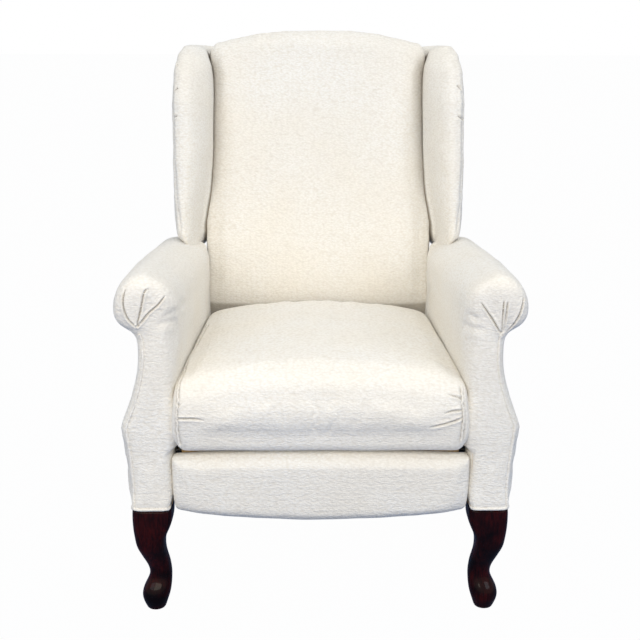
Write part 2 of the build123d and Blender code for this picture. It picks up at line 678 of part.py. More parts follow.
def outside_back():
    """Covered board on the back of the frame, narrow between the arms and wide behind the wings."""
    foot = STILE_FOOT + 2
    top = BACK_ARCH[1] + 18
    wire = outline(back_face(STILE_REAR), (-BACK_HALF, foot), ((BACK_HALF, foot),),
                   ((BACK_HALF, OUTSIDE_SHOULDER - 20),),
                   ((BACK_HALF + 12, OUTSIDE_SHOULDER - 5), (BACK_HALF + 34, OUTSIDE_SHOULDER),),
                   ((OUTSIDE_WIDE - 8, OUTSIDE_SHOULDER + 4),), ((OUTSIDE_WIDE, OUTSIDE_SHOULDER + 60),),
                   ((OUTSIDE_WIDE, top - 70),), ((OUTSIDE_WIDE - 12, top - 24), (OUTSIDE_WIDE - 44, top),),
                   ((0, BACK_ARCH[0] + 28), (44 - OUTSIDE_WIDE, top)),
                   ((12 - OUTSIDE_WIDE, top - 24), (-OUTSIDE_WIDE, top - 70)),
                   ((-OUTSIDE_WIDE, OUTSIDE_SHOULDER + 60),), ((8 - OUTSIDE_WIDE, OUTSIDE_SHOULDER + 4),),
                   ((-BACK_HALF - 34, OUTSIDE_SHOULDER),),
                   ((-BACK_HALF - 12, OUTSIDE_SHOULDER - 5), (-BACK_HALF, OUTSIDE_SHOULDER - 20)))
    return back_board(wire, OUTSIDE_THICK)


def back_arch(x):
    """Height u of the frame's top at this x: the top rail's arc, then the stiles."""
    half = BACK_HALF - STILE_WIDE
    rise = BACK_ARCH[0] - BACK_ARCH[1]
    radius = (half ** 2 + rise ** 2) / (2 * rise)
    return BACK_ARCH[0] - radius + sqrt(radius ** 2 - min(abs(x), half) ** 2)


def back_cushion_section(x):
    """Cushion's outline in the (n, u) plane at this x, with its top wrapped over the frame."""
    share = abs(x) / CUSHION_BACK_HALF
    crown = CUSHION_BACK_TOP - CUSHION_BACK_DROP * share ** 3
    thin = 20.0 * share ** 4
    rear = STILE_FRONT + GAP
    low = BACK_CUSHION_FOOT + 0.4 * thin
    edge = max(0.0, share - 0.93) / 0.07 * 9.0
    step = back_arch(x) + 2.5
    wrap = STILE_REAR + GAP
    place = lambda n, u: Vector(x, -n, u)
    return outline(place, (rear, low + edge), ((30 - thin, low + 4 + edge),),
                   ((78 - thin, 400), (50 - thin, crown - 36 - edge)),
                   ((8 - 0.7 * thin, crown - edge), (wrap, crown - 24 - edge)),
                   ((wrap, step),), ((rear, step),))


def back_cushion():
    """Crowned back cushion with an arched top."""
    shares = (0.0, 0.35, 0.62, 0.82, 0.93, 1.0)
    stations = [-share for share in reversed(shares)] + list(shares[1:])
    return leaned(Solid.make_loft([back_cushion_section(CUSHION_BACK_HALF * s) for s in stations], True))


def lean_depth(z):
    """Depth of the leaned plane through the back's pivot at this height."""
    return PIVOT_D + (z - PIVOT_Z) * tan(radians(LEAN))


def wing_board(grow=0.0):
    """Plywood wing side: flat on the stile, then bent outwards and forwards."""
    skew = 0.45                  # run outwards for each millimetre forwards
    bend = -4.0
    reach = WING_BOARD_REACH
    inner = BACK_HALF - (grow and 0.2)
    outer = BACK_HALF + WING_PLY + grow
    lip = skew * (reach - bend)
    plan = Wire.make_polygon([Vector(inner, -STILE_REAR, 0), Vector(inner, -bend - grow, 0),
                              Vector(inner + lip, -reach - grow, 0), Vector(outer + lip, -reach - grow, 0),
                              Vector(outer, -bend, 0), Vector(outer, -STILE_REAR, 0)], close=True)
    low, top = WING_BOARD_U[0] - grow, WING_BOARD_U[1] + grow
    bent = Solid.extrude(Face(plan), Vector(0, 0, top))
    side_place = lambda n, u: Vector(0, -n, u)
    edge = outline(side_place, (STILE_REAR, low), ((0.45 * reach, low),),
                   ((0.85 * reach + grow, low + 40), (reach + grow, low + 130)),
                   ((reach + 2 + grow, 0.5 * (low + top)), (0.78 * reach + grow, top - 60)),
                   ((0.5 * reach + grow, top - 16), (0, top)), ((STILE_REAR, top),))
    return leaned(bent & Solid.extrude(Face(edge), Vector(outer + lip + 1, 0, 0)))


def wing_section(z, outer, reach):
    """Wing's level outline: flat at the rear, a rounded nose in front."""
    rear = STILE_REAR + GAP
    inner = BACK_HALF + GAP
    flank = min(OUTSIDE_WIDE - 2, outer - 6)
    root = min(64.0, reach - 26)
    here = lean_depth(z)
    scale = 1 / cos(radians(LEAN))
    place = lambda x, n: Vector(x, FRONT_Y + here - n * scale, z)
    nose = outer - 15
    mouth = outer - 44
    return outline(place, (inner, rear), ((flank, rear),),
                   (((flank + outer) / 2 + 4, (rear + reach) / 2 - 12), (outer, reach - 26)),
                   ((outer - 3, reach - 8), (nose, reach)), ((nose - 17, reach + 1), (mouth, reach - 9)),
                   (((mouth + inner) / 2 - 2, (reach + root) / 2 + 2), (inner + 1.5, root)))


def wing_foot():
    """Wedge under the wing, whose flat top slants just clear of the inner side of the arm's roll."""
    angle = radians(WING_FOOT_ANGLE)
    slope = -cos(angle) / sin(angle)
    span = (0.8 * BACK_HALF, 1.2 * OUTSIDE_WIDE)
    wires = []
    for depth in (0.5 * ARM_DEPTH, 1.4 * ARM_DEPTH):
        share = depth / ARM_DEPTH
        reach = mix(ARM_ROLL_R, share) + WING_CLEARANCE
        near_x = mix(ARM_ROLL_X, share) + reach * cos(angle)
        near_z = mix(ARM_ROLL_Z, share) + reach * sin(angle)
        top = [near_z + (x - near_x) * slope for x in span]
        wires.append(outline(front(depth), (span[0], ARM_WAIST_Z), ((span[1], ARM_WAIST_Z),),
                             ((span[1], top[1]),), ((span[0], top[0]),)))
    return Solid.make_loft(wires, True)


def wing_cover():
    """Padded wing round its board, cut off below on a slant over the arm's roll."""
    form = Solid.make_loft([wing_section(*row) for row in WING], True)
    return form - wing_foot() - wing_board(GAP)


def hinge_bracket():
    """Steel strap on the stile with the shouldered pin that the back turns on."""
    strap_x = (BACK_HALF, BACK_HALF + 4.0)
    strap = Solid.extrude(Face(Wire.make_polygon(
        [Vector(strap_x[0], 44, -16), Vector(strap_x[0], -14, -16), Vector(strap_x[0], -14, 14),
         Vector(strap_x[0], 12, 60), Vector(strap_x[0], 12, 150), Vector(strap_x[0], 44, 150)], close=True)),
        Vector(4.0, 0, 0))
    pivot = (PIVOT_D, PIVOT_Z)
    boss = stud(pivot, 9.0, (strap_x[1], SEAT_PLATE_X[0] - GAP))
    pin = stud(pivot, HINGE_PIN_R, (SEAT_PLATE_X[0] - GAP, SEAT_PLATE_X[1] + GAP))
    head = stud(pivot, 8.0, (SEAT_PLATE_X[1] + GAP, SEAT_PLATE_X[1] + 2.5))
    return leaned(strap) + boss + pin + head


# ---------------------------------------------------------------- the whole chair
def build():
    nodes = {}

    def pair(name, solid):
        nodes["left_" + name] = solid
        nodes["right_" + name] = mirrored(solid)

    pair("arm_stump", leg_hole(arm_stump()))
    pair("arm_rear_board", arm_rear_board())
    pair("arm_rail", arm_rail())
    pair("side_rail", drilled_rail())
    pair("arm_cover", arm_cover())
    pair("front_leg", cabriole_leg())
    pair("rear_leg", rear_leg())
    nodes["rear_stretcher"] = rear_stretcher()
    bolts = [leg_bolt(place) for place in bolt_places()]
    nodes["leg_bolts"] = bolts + [mirrored(bolt) for bolt in bolts]
    glides = [glide(place) for place in glide_places()]
    nodes["leg_glides"] = glides + [mirrored(disc) for disc in glides]
    pair("base_plate", base_plate())
    nodes["base_tube"] = base_tube()
    screws = [base_screw(place) for place in base_screw_places()]
    nodes["base_screws"] = screws + [mirrored(screw) for screw in screws]

    pair("front_swing_link", swing_link(SWING_FRONT_D))
    pair("rear_swing_link", swing_link(SWING_REAR_D))
    pair("seat_plate", seat_plate())
    nodes.update(seat_rails())
    nodes["seat_springs"] = seat_springs()
    nodes["deck_pad"] = deck_pad()
    nodes["seat_cushion"] = seat_cushion()

    pair("drive_link", drive_link())
    pair("idler_link", idler_link())
    pair("cross_link", cross_link())
    pair("tilt_link", tilt_link())
    pair("footrest_bracket", footrest_bracket())
    nodes["footrest_board"] = footrest_board()
    nodes["footrest_pad"] = footrest_pad()

    pair("back_stile", back_stile())
    nodes["back_top_rail"] = back_top_rail()
    nodes["back_bottom_rail"] = back_bottom_rail()
    nodes["back_springs"] = back_springs()
    nodes["outside_back"] = outside_back()
    nodes["back_cushion"] = back_cushion()
    pair("wing_board", wing_board())
    pair("wing_cover", wing_cover())
    pair("hinge_bracket", hinge_bracket())
    return nodes


NODES = build()


def write_parts():
    os.makedirs("parts", exist_ok=True)
    for name, shape in NODES.items():
        solids = shape if isinstance(shape, list) else [shape]
        flat = [solid for item in solids for solid in item.solids()]
        export_step(flat[0] if len(flat) == 1 else Compound(children=flat), "parts/" + name + ".step")


write_parts()
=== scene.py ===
import json
from math import pi, radians

import bmesh
import bpy
import numpy as np
from mathutils import Matrix, Vector, noise
from mathutils.bvhtree import BVHTree
from mathutils.geometry import interpolate_bezier


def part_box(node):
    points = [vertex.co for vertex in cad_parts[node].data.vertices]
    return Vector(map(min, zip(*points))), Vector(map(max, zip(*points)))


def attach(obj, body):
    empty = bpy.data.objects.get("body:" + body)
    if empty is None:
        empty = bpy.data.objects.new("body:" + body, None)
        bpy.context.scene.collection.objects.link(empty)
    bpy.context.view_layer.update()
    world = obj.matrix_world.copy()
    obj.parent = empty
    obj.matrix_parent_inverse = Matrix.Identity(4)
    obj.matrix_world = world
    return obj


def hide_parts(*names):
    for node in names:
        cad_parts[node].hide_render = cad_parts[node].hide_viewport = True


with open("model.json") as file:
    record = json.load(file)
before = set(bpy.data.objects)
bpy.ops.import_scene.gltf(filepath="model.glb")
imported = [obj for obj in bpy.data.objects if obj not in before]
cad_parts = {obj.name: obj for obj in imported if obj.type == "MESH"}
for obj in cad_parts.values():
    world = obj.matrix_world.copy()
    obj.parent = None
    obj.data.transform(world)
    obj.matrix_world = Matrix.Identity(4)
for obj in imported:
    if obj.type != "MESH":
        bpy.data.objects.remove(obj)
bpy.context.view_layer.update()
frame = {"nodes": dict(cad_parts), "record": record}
nodes = frame["nodes"]


# ---------------------------------------------------------------- camera
# The photograph's viewpoint: at the height of the back's top, two metres in front of the chair
# and nearly square to it, found by fitting the chair's outline.
CAMERA_PLACE = Vector((-0.0243, -2.1755, 1.116))
CAMERA_DOWN = 15.951        # degrees below level
CAMERA_YAW = -0.706         # degrees, turned slightly to its own right
CAMERA_ROLL = 0.161         # degrees
PHOTO_PX = 640              # width and height of the photograph
FOCAL_PX = 1031.0           # focal length in the photograph's pixels
SENSOR = 36.0               # width of the camera's sensor in millimetres


def add_object(name, data):
    """Object in the scene that holds a mesh, a curve, a lamp or the camera."""
    holder = bpy.data.objects.new(name, data)
    bpy.context.scene.collection.objects.link(holder)
    return holder


camera = add_object("camera", bpy.data.cameras.new("camera"))
bpy.context.scene.camera = camera
camera.data.sensor_width = SENSOR
camera.data.lens = FOCAL_PX / PHOTO_PX * SENSOR
camera.matrix_world = (Matrix.Translation(CAMERA_PLACE)
                       @ Matrix.Rotation(radians(CAMERA_YAW), 4, "Z")
                       @ Matrix.Rotation(radians(90 - CAMERA_DOWN), 4, "X")
                       @ Matrix.Rotation(radians(CAMERA_ROLL), 4, "Z"))
CAMERA_TURN = camera.matrix_world.to_3x3()


# ---------------------------------------------------------------- wooden frame
# Boards, rails and stiles inside the padding are planed poplar, doweled and glued. They show
# only from below and when the chair is open.
WOOD_GRAIN = 0.006          # width of a growth ring's band on the board
WOOD_PORE = WOOD_GRAIN / 8  # spacing of its open pores


def srgb(code):
    """Linear colour of a hex sRGB value."""
    parts = [int(code[i:i + 2], 16) / 255 for i in (1, 3, 5)]
    return [c / 12.92 if c <= 0.04045 else ((c + 0.055) / 1.055) ** 2.4 for c in parts] + [1.0]


def add_node(tree, kind, settings=None, inputs=None):
    """Adds a shader node with its settings; an input is a value, or a socket to link to it."""
    node = tree.nodes.new("ShaderNode" + kind)
    for name, value in (settings or {}).items():
        setattr(node, name, value)
    for name, value in (inputs or {}).items():
        if isinstance(value, bpy.types.NodeSocket):
            tree.links.new(value, node.inputs[name])
        else:
            node.inputs[name].default_value = value
    return node


def new_finish(name, **skin):
    """Material, its node tree and its Principled shader, whose constant sockets are set."""
    finish = bpy.data.materials.new(name)
    finish.use_nodes = True
    shader = finish.node_tree.nodes["Principled BSDF"]
    for key, value in skin.items():
        shader.inputs[key.replace("_", " ")].default_value = value
    return finish, finish.node_tree, shader


def finish_slot(slot, finish):
    """Gives a finish to every CAD node of a material slot."""
    for part in frame["record"]["subparts"]:
        if part["material_slot"] == slot:
            mesh = nodes[part["node"]].data
            mesh.materials.clear()
            mesh.materials.append(finish)


def planed_poplar():
    """Planed poplar: pale and dry, with straight soft bands of grain."""
    finish, tree, skin = new_finish("planed_poplar", Roughness=0.62)
    place = add_node(tree, "TexCoord").outputs["Object"]
    long_way = add_node(tree, "Mapping", None, {"Vector": place, "Scale": (1.0, 0.12, 0.35)})
    rings = add_node(tree, "TexNoise", None,
                     {"Vector": long_way.outputs[0], "Scale": 1 / WOOD_GRAIN, "Detail": 4.0,
                      "Distortion": 0.6})
    pores = add_node(tree, "TexNoise", None,
                     {"Vector": long_way.outputs[0], "Scale": 1 / WOOD_PORE})
    tone = add_node(tree, "MapRange", None,
                    {"Value": rings.outputs["Fac"], "From Min": 0.35, "From Max": 0.7})
    colour = add_node(tree, "Mix", {"data_type": "RGBA"},
                      {0: tone.outputs["Result"], 6: srgb("#D9BD90"), 7: srgb("#B8935F")})
    bump = add_node(tree, "Bump", None,
                    {"Height": pores.outputs["Fac"], "Strength": 0.25, "Distance": 0.0004})
    tree.links.new(colour.outputs[2], skin.inputs["Base Color"])
    tree.links.new(bump.outputs[0], skin.inputs["Normal"])
    return finish


finish_slot("frame_wood", planed_poplar())


# ---------------------------------------------------------------- steel mechanism
# Swing links, footrest links, seat plates and brackets are stamped steel with baked black
# enamel; the springs are bright drawn wire, and bolts and screws are zinc plated.
ENAMEL_ORANGE_PEEL = 0.0012     # spacing of the ripple in sprayed enamel
WIRE_SCRATCH = 0.0015       # spacing of die and rolling marks, drawn coarse enough to show
WEAR = 1 / 28               # size of the patches that handling dulls or polishes


def worn_metal(name, dark, light, grain, strength, **skin_values):
    """Metal or enamel whose tone and gloss vary finely over its surface."""
    finish, tree, skin = new_finish(name, **skin_values)
    place = add_node(tree, "TexCoord").outputs["Object"]
    fine = add_node(tree, "TexNoise", None, {"Vector": place, "Scale": 1 / grain, "Detail": 3.0})
    broad = add_node(tree, "TexNoise", None, {"Vector": place, "Scale": 1 / WEAR, "Detail": 2.0})
    tone = add_node(tree, "MapRange", None,
                    {"Value": broad.outputs["Fac"], "From Min": 0.3, "From Max": 0.7})
    colour = add_node(tree, "Mix", {"data_type": "RGBA"},
                      {0: tone.outputs["Result"], 6: srgb(dark), 7: srgb(light)})
    rough = skin.inputs["Roughness"].default_value
    gloss = add_node(tree, "MapRange", None,
                     {"Value": broad.outputs["Fac"], "From Min": 0.3, "From Max": 0.7,
                      "To Min": 0.8 * rough, "To Max": 1.25 * rough})
    bump = add_node(tree, "Bump", None,
                    {"Height": fine.outputs["Fac"], "Strength": strength, "Distance": 0.0003})
    tree.links.new(colour.outputs[2], skin.inputs["Base Color"])
    tree.links.new(gloss.outputs["Result"], skin.inputs["Roughness"])
    tree.links.new(bump.outputs[0], skin.inputs["Normal"])
    return finish


# Baked enamel on stamped steel: black with a low, slightly orange-peeled gloss.
finish_slot("mechanism_steel", worn_metal("baked_black_enamel", "#141415", "#202123",
                                          grain=ENAMEL_ORANGE_PEEL, strength=0.25,
                                          Roughness=0.34, Coat_Weight=0.3))
# Drawn spring wire: grey and bright, with fine die marks.
finish_slot("spring_wire", worn_metal("drawn_spring_wire", "#75757A", "#9A9A9D",
                                      grain=WIRE_SCRATCH, strength=0.3,
                                      Roughness=0.36, Metallic=1.0))
# Zinc plate on rolled steel: pale and slightly blue, softly shining.
finish_slot("zinc_fastener", worn_metal("zinc_plated_steel", "#B2B3AE", "#CFD1CF",
                                        grain=WIRE_SCRATCH, strength=0.2,
                                        Roughness=0.3, Metallic=1.0))
# Moulded polyethylene glides: dark brown and waxy.
finish_slot("glide_plastic", worn_metal("moulded_glide_plastic", "#1E1815", "#2A231E",
                                        grain=ENAMEL_ORANGE_PEEL, strength=0.2,
                                        Roughness=0.5))


# ---------------------------------------------------------------- legs
# Cabriole front legs and raked rear legs are carved hardwood, stained mahogany and sprayed
# with clear gloss lacquer. The front legs are drawn fuller here than their solids, with a
# square block over the knee and a pad foot.
MAHOGANY_GRAIN = 0.004      # spacing of the grain's dark streaks across the leg
STAIN_CLOUD = 1 / 22        # size of the patches where the stain took darker


def mahogany_lacquer():
    """Stained and lacquered wood: a near-black red with sharp small highlights."""
    finish, tree, skin = new_finish("mahogany_gloss_lacquer", Roughness=0.28,
                                    Specular_IOR_Level=0.05, Coat_Weight=0.2,
                                    Coat_Roughness=0.04)
    place = add_node(tree, "TexCoord").outputs["Object"]
    upright = add_node(tree, "Mapping", None, {"Vector": place, "Scale": (1.0, 1.0, 0.14)})
    grain = add_node(tree, "TexNoise", None,
                     {"Vector": upright.outputs[0], "Scale": 1 / MAHOGANY_GRAIN, "Detail": 5.0,
                      "Distortion": 0.8})
    cloud = add_node(tree, "TexNoise", None,
                     {"Vector": place, "Scale": 1 / STAIN_CLOUD, "Detail": 2.0})
    streak = add_node(tree, "MapRange", None,
                      {"Value": grain.outputs["Fac"], "From Min": 0.35, "From Max": 0.68})
    stain = add_node(tree, "Mix", {"data_type": "RGBA"},
                     {0: streak.outputs["Result"], 6: srgb("#340907"), 7: srgb("#110202")})
    shade = add_node(tree, "MapRange", None,
                     {"Value": cloud.outputs["Fac"], "From Min": 0.4, "From Max": 0.68})
    colour = add_node(tree, "Mix", {"data_type": "RGBA"},
                      {0: shade.outputs["Result"], 6: stain.outputs[2], 7: srgb("#080202")})
    bump = add_node(tree, "Bump", None,
                    {"Height": grain.outputs["Fac"], "Strength": 0.12, "Distance": 0.0004})
    tree.links.new(colour.outputs[2], skin.inputs["Base Color"])
    tree.links.new(bump.outputs[0], skin.inputs["Normal"])
    return finish


mahogany = mahogany_lacquer()
finish_slot("mahogany", mahogany)

SIDES = {"left": 1, "right": -1}
LEG_CENTRE = (0.322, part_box("left_front_leg")[0][1] + 0.037)    # X and Y
# a front leg's outline: height, outer and inner reach from the chair's middle, and squareness
CABRIOLE = [
    (0.2246, 0.3612, 0.2848, 5.0), (0.2120, 0.3618, 0.2848, 5.0), (0.1970, 0.3622, 0.2852, 4.6),
    (0.1790, 0.3615, 0.2920, 4.0), (0.1660, 0.3600, 0.2985, 3.6), (0.1530, 0.3587, 0.3015, 3.3),
    (0.1400, 0.3564, 0.3018, 3.1), (0.1270, 0.3513, 0.3010, 2.9), (0.1140, 0.3465, 0.2987, 2.8),
    (0.1010, 0.3410, 0.2960, 2.7), (0.0880, 0.3373, 0.2945, 2.6), (0.0745, 0.3360, 0.2933, 2.5),
    (0.0610, 0.3410, 0.2936, 2.4), (0.0480, 0.3490, 0.2943, 2.3), (0.0340, 0.3527, 0.2968, 2.2),
    (0.0210, 0.3503, 0.3014, 2.1), (0.0075, 0.3448, 0.3058, 2.0), (0.0040, 0.3430, 0.3075, 2.0)]
LEG_POINTS = 32             # points round the leg


def mesh_of(name, form):
    """Mesh of a bmesh, which is freed."""
    mesh = bpy.data.meshes.new(name)
    form.to_mesh(mesh)
    form.free()
    return mesh


def cabriole(hand):
    """Leg sawn to one outline on two faces and rounded over, so it turns out to the corner."""
    form = bmesh.new()
    loops = []
    for height, outer, inner, square in CABRIOLE:
        ring = bmesh.ops.create_circle(form, segments=LEG_POINTS, radius=1.0)["verts"]
        half = (outer - inner) / 2
        middle = (outer + inner) / 2
        for point in ring:
            x, y = (abs(c) ** (2 / square) * (1 if c > 0 else -1) for c in point.co.xy)
            forward = LEG_CENTRE[1] - (middle - LEG_CENTRE[0]) + half * y
            point.co = (hand * (middle + half * x), forward, height)
        loops.append([e for e in form.edges if e.verts[0] in ring and e.verts[1] in ring])
    for upper, lower in zip(loops, loops[1:]):
        bmesh.ops.bridge_loops(form, edges=upper + lower)
    bmesh.ops.holes_fill(form, edges=loops[0] + loops[-1])
    ends = [face for face in form.faces if len(face.verts) > 4]
    bmesh.ops.inset_individual(form, faces=ends, thickness=0.002)
    bmesh.ops.recalc_face_normals(form, faces=form.faces)
    mesh = mesh_of("cabriole", form)
    mesh.polygons.foreach_set("use_smooth", [True] * len(mesh.polygons))
    return mesh


for side, hand in SIDES.items():
    leg = add_object(side + "_cabriole_leg", cabriole(hand))
    smoother = leg.modifiers.new("smoother", "SUBSURF")
    smoother.levels = 2
    smoother.render_levels = 2
    leg.data.materials.append(mahogany)
    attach(leg, "base")
    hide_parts(side + "_front_leg")


# ---------------------------------------------------------------- arms
# Each arm is padded with foam and fibre over its boards and covered in cream chenille, drawn
# into pleats at the front scroll, with a welt down the front edge and round the foot.
TUFT = 0.0042               # spacing of the chenille's tufts of pile, drawn coarse enough to show
RIB = 0.012                 # spacing of its woven ribs, drawn coarse enough to show
WAVE = pi / 10              # spacing of a wave texture's bands at a scale of 1
FUZZ = 0.0011               # spacing of the loose ends of its pile
WANDER = 1 / 70             # length over which a row of tufts wanders
PATCH = 1 / 6               # size of the patches where the cream is warmer
ARM_NET = 0.0056            # spacing of the cloth's net before it is halved
CLOTH_STEPS = 20            # frames that a cover is blown up for
BATCH = 4000                # points measured at a time, to spare memory
WELT = 0.0028               # radius of a covered welt cord


def woven_chenille():
    """Woven chenille: rows of fuzzy pile yarn, so a dull, soft, pebbled cream, with painted shade.
    """
    finish, tree, skin = new_finish("cream_woven_chenille", Roughness=0.92, Sheen_Weight=0.12,
                                    Sheen_Roughness=0.5, Specular_IOR_Level=0.15)
    place = add_node(tree, "TexCoord").outputs["Object"]
    wander = add_node(tree, "TexNoise", None, {"Vector": place, "Scale": 1 / WANDER, "Detail": 2.0})
    shift = add_node(tree, "VectorMath", {"operation": "MULTIPLY_ADD"},
                     {0: wander.outputs["Color"], 1: (0.005, 0.005, 0.005), 2: place}).outputs[0]
    rows = add_node(tree, "Mapping", None, {"Vector": shift, "Scale": (0.62, 0.75, 1.35)})
    tufts = add_node(tree, "TexVoronoi", {"feature": "SMOOTH_F1"},
                     {"Vector": rows.outputs[0], "Scale": 1 / TUFT, "Smoothness": 0.4,
                      "Randomness": 0.9})
    fuzz = add_node(tree, "TexNoise", None, {"Vector": place, "Scale": 1 / FUZZ, "Detail": 2.0})
    ribs = []
    for axis in "XYZ":
        rib = add_node(tree, "TexWave", {"wave_type": "BANDS", "bands_direction": axis},
                       {"Vector": shift, "Scale": WAVE / RIB, "Distortion": 1.2, "Detail": 1.0})
        ribs.append(rib.outputs["Fac"])
    pair = add_node(tree, "Math", {"operation": "ADD"}, {0: ribs[0], 1: ribs[1]}).outputs[0]
    weave = add_node(tree, "Math", {"operation": "ADD"}, {0: pair, 1: ribs[2]}).outputs[0]
    pile = add_node(tree, "Math", {"operation": "MULTIPLY_ADD"},
                    {0: tufts.outputs["Distance"], 1: -1.0, 2: fuzz.outputs["Fac"]}).outputs[0]
    height = add_node(tree, "Math", {"operation": "MULTIPLY_ADD"},
                      {0: weave, 1: 0.2, 2: pile}).outputs[0]
    bump = add_node(tree, "Bump", None, {"Height": height, "Strength": 0.75, "Distance": 0.0015})
    patches = add_node(tree, "TexNoise", None, {"Vector": place, "Scale": 1 / PATCH, "Detail": 3.0})
    warmth = add_node(tree, "MapRange", None,
                      {"Value": patches.outputs["Fac"], "From Min": 0.35, "From Max": 0.68})
    cream = add_node(tree, "Mix", {"data_type": "RGBA"},
                     {0: warmth.outputs["Result"], 6: srgb("#F6F4EE"), 7: srgb("#F5F0E5")})
    hollow = add_node(tree, "MapRange", None,
                      {"Value": tufts.outputs["Distance"], "From Min": 0.15, "From Max": 0.95})
    pebbled = add_node(tree, "Mix", {"data_type": "RGBA"},
                       {0: hollow.outputs["Result"], 6: cream.outputs[2], 7: srgb("#E7E1D5")})
    # painted shade: the cream is mixed towards a dark brown by the point attribute that darken
    # paints in folds, along seams and where pads lie against each other
    painted_shade = add_node(tree, "Attribute", {"attribute_name": "painted_shade"})
    colour = add_node(tree, "Mix", {"data_type": "RGBA"},
                      {0: painted_shade.outputs["Fac"], 6: pebbled.outputs[2], 7: srgb("#6E614C")})
    tree.links.new(colour.outputs[2], skin.inputs["Base Color"])
    tree.links.new(bump.outputs[0], skin.inputs["Normal"])
    return finish


chenille = woven_chenille()


def bake(piece):
    """Applies the piece's modifiers."""
    bpy.context.view_layer.update()
    shown = piece.evaluated_get(bpy.context.evaluated_depsgraph_get())
    mesh = bpy.data.meshes.new_from_object(shown)
    piece.modifiers.clear()
    old = piece.data
    piece.data = mesh
    bpy.data.meshes.remove(old)


def outer_form(node, inner=()):
    """The node's solid with those inside it, so that its net keeps only the outer skin."""
    form = bmesh.new()
    for name in (node, *inner):
        form.from_mesh(nodes[name].data)
    bmesh.ops.remove_doubles(form, verts=form.verts, dist=0.00002)
    return form


def modify(piece, kind, **settings):
    """Adds a modifier to the piece."""
    modifier = piece.modifiers.new(kind.lower(), kind)
    for name, value in settings.items():
        setattr(modifier, name, value)
    return modifier


def cloth_net(name, form, spacing, rounds):
    """Piece of an even net over a form, with its edges softened."""
    piece = add_object(name, mesh_of(name, form))
    modify(piece, "REMESH", mode="VOXEL", voxel_size=spacing)
    modify(piece, "SMOOTH", factor=0.5, iterations=rounds)
    bake(piece)
    return piece


def shape_of(piece):
    """The piece's points and their normals, as arrays."""
    count = len(piece.data.vertices)
    points = np.empty(count * 3)
    normals = np.empty(count * 3)
    piece.data.vertices.foreach_get("co", points)
    piece.data.vertices.foreach_get("normal", normals)
    return points.reshape(-1, 3), normals.reshape(-1, 3)


def set_shape(piece, points):
    """Moves the piece's points."""
    piece.data.vertices.foreach_set("co", points.reshape(-1))
    piece.data.update()


def ramp(values, low, high):
    """Smooth steps from 0 at low to 1 at high."""
    share = np.clip((values - low) / (high - low), 0.0, 1.0)
    return share * share * (3 - 2 * share)


def soften(piece, share, rounds):
    """Rounds a piece over more where the share of its points is higher."""
    group = piece.vertex_groups.new(name="soft")
    for i in np.nonzero(share > 0.01)[0]:
        group.add([int(i)], float(share[i]), "REPLACE")
    modify(piece, "SMOOTH", factor=0.5, iterations=rounds, vertex_group="soft")
    bake(piece)
    piece.vertex_groups.clear()


def stuff(piece, cap, free):
    """Blows the cover up from inside, as its filling does; free is each point's share of it."""
    cut = shape_of(piece)[0]
    settings = modify(piece, "CLOTH").settings
    settings.quality = 4
    settings.tension_stiffness = 12
    settings.compression_stiffness = 12
    settings.bending_stiffness = 0.4
    settings.use_pressure = True
    settings.uniform_pressure_force = 4.0
    settings.effector_weights.gravity = 0
    for number in range(1, CLOTH_STEPS + 1):
        bpy.context.scene.frame_set(number)
    bake(piece)
    bpy.context.scene.frame_set(1)
    swell = shape_of(piece)[0] - cut
    size = np.maximum(np.linalg.norm(swell, axis=1, keepdims=True), 1e-9)
    swell = swell / size * (cap * np.tanh(size / cap))
    set_shape(piece, cut + swell * free[:, None])


def other_side(piece, name):
    """The piece mirrored to the other side of the chair."""
    form = bmesh.new()
    form.from_mesh(piece.data)
    bmesh.ops.scale(form, vec=(-1, 1, 1), verts=form.verts)
    bmesh.ops.reverse_faces(form, faces=form.faces)
    return add_object(name, mesh_of(name, form))


def halve_net(piece):
    """Halves the spacing of the net, and rounds it."""
    modify(piece, "SUBSURF", levels=1, render_levels=1)
    bake(piece)


def refine(piece, lines, reach=0.009):
    """Halves the net again near the lines, so that narrow tucks come out crisp."""
    tracks = np.array([tuple(p) for line in lines for p in line])
    if not len(tracks):
        return
    points = shape_of(piece)[0]
    near = np.zeros(len(points), bool)
    box = ((points > tracks.min(0) - reach) & (points < tracks.max(0) + reach)).all(1)
    rows = np.nonzero(box)[0]
    for start in range(0, len(rows), BATCH):
        part = rows[start:start + BATCH]
        near[part] = np.linalg.norm(points[part, None] - tracks[None], axis=2).min(1) < reach
    form = bmesh.new()
    form.from_mesh(piece.data)
    form.verts.ensure_lookup_table()
    edges = [e for e in form.edges if near[e.verts[0].index] and near[e.verts[1].index]]
    bmesh.ops.subdivide_edges(form, edges=edges, cuts=1, use_grid_fill=True)
    form.to_mesh(piece.data)
    form.free()
    piece.data.update()


def undulate(piece, height, width, seed):
    """Raises and lowers the surface gently, as stuffing under cloth lies unevenly."""
    points, normals = shape_of(piece)
    origin = Vector((seed * 3.1, seed * 1.7, seed * 0.9))
    lift = np.array([noise.noise(Vector(p) / width + origin) for p in points])
    set_shape(piece, points + normals * (lift * height)[:, None])


def smooth_line(corners, spacing=0.0025):
    """Points along a smooth curve through the corners."""
    corners = [Vector(c) for c in corners]
    line = []
    for i in range(len(corners) - 1):
        before = corners[max(i - 1, 0)]
        here, there = corners[i], corners[i + 1]
        after = corners[min(i + 2, len(corners) - 1)]
        count = max(2, int((there - here).length / spacing) + 1)
        leave = here + (there - before) / 6
        arrive = there - (after - here) / 6
        line += interpolate_bezier(here, leave, arrive, there, count)[:-1]
    return line + corners[-1:]


def surface(piece):
    """The piece's faces, ready to be measured from."""
    return BVHTree.FromPolygons([point.co for point in piece.data.vertices],
                                [face.vertices for face in piece.data.polygons])


def lay_on(tree, line, lift=0.0):
    """The line moved onto a surface, and lifted off it."""
    laid = []
    for point in line:
        place, normal = tree.find_nearest(point)[:2]
        laid.append(place + normal * lift)
    return laid


